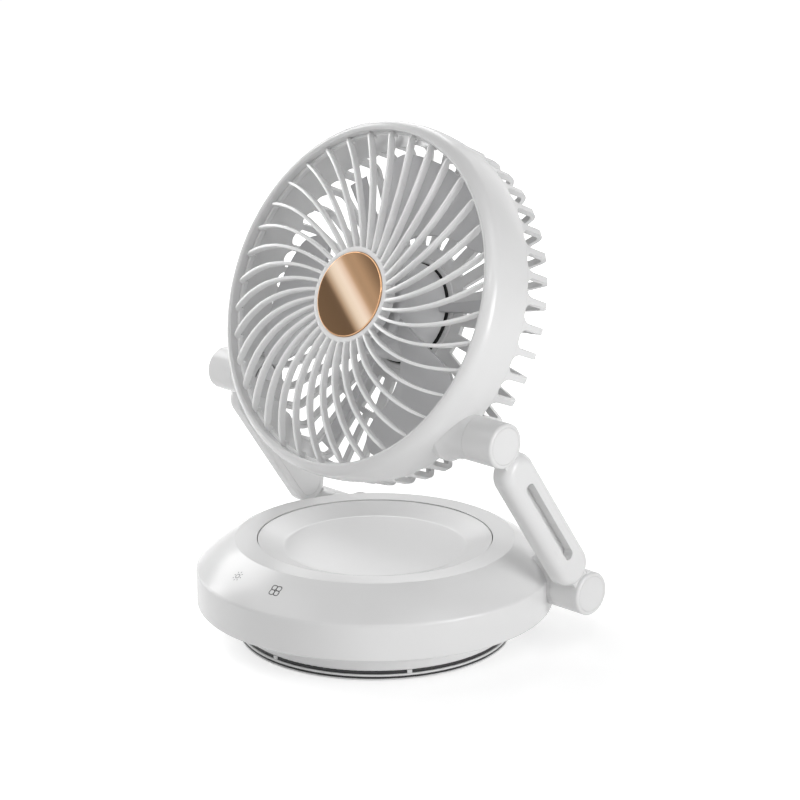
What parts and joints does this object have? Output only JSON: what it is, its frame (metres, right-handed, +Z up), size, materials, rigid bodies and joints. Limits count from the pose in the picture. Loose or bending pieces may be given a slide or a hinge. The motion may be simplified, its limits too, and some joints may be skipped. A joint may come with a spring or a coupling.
{
  "type": "mini desk fan",
  "caption": "Small folding desk fan: round head with a swirl grille, tilting between two short side arms that hinge on a round base with a dished top and a charging inlet.",
  "frame": {"origin": "centre of the base, on the table under the feet", "axes": "+Z up, -Y the way the fan faces, +X to the right seen from the front"},
  "size_m": [0.1786, 0.16, 0.23],
  "materials": {
    "white_plastic": "satin moulded white",
    "grey_plastic": "satin pale grey",
    "black_plastic": "matt black",
    "rubber": "matt rubber",
    "bronze": "polished rose bronze plating",
    "steel": "turned steel",
    "nylon": "natural nylon",
    "circuit_board": "solder mask",
    "light_chip": "phosphor face",
    "cell_wrap": "shrink wrap",
    "core_steel": "stacked sheet",
    "copper": "enamelled wire",
    "ferrite": "sintered magnet"
  },
  "bodies": {
    "base": {"base_shell": "white_plastic", "dish_panel": "white_plastic", "light_board": "circuit_board", "light_chips": "light_chip", "touch_board": "circuit_board", "base_pan": "grey_plastic", "base_screws": "steel", "foot_plate": "white_plastic", "foot_bands": "black_plastic", "rubber_feet": "rubber", "battery_tray": "black_plastic", "battery_cells": "cell_wrap", "main_board": "circuit_board", "usb_socket": "steel", "lower_left_bolt": "steel", "lower_right_bolt": "steel", "lower_nuts": "steel", "lower_washers": "nylon"},
    "arms": {"left_arm": "white_plastic", "right_arm": "white_plastic", "left_arm_cover": "white_plastic", "right_arm_cover": "white_plastic", "left_caps": "white_plastic", "right_caps": "white_plastic"},
    "head": {"head_rim": "white_plastic", "front_grille": "white_plastic", "hub_badge": "bronze", "rear_grille": "white_plastic", "stator_core": "core_steel", "coils": "copper", "motor_board": "circuit_board", "bearings": "steel", "upper_left_bolt": "steel", "upper_right_bolt": "steel", "upper_nuts": "steel", "upper_washers": "nylon"},
    "impeller": {"impeller": "grey_plastic", "shaft": "steel", "shaft_clip": "steel", "rotor_cup": "steel", "magnet_ring": "ferrite"}
  },
  "joints": [
    {"name": "arm_fold", "type": "hinge", "parent": "base", "child": "arms", "pos_m": [0, 0.0456, 0.0288], "axis": [1, 0, 0], "range_deg": [-15, 21]},
    {"name": "head_tilt", "type": "hinge", "parent": "arms", "child": "head", "pos_m": [0, -0.01074, 0.10837], "axis": [-1, 0, 0], "range_deg": [-30, 68]},
    {"name": "fan_spin", "type": "hinge", "parent": "head", "child": "impeller", "pos_m": [0, -0.0139, 0.15842], "axis": [0, -0.9278, 0.373], "continuous": true}
  ]
}
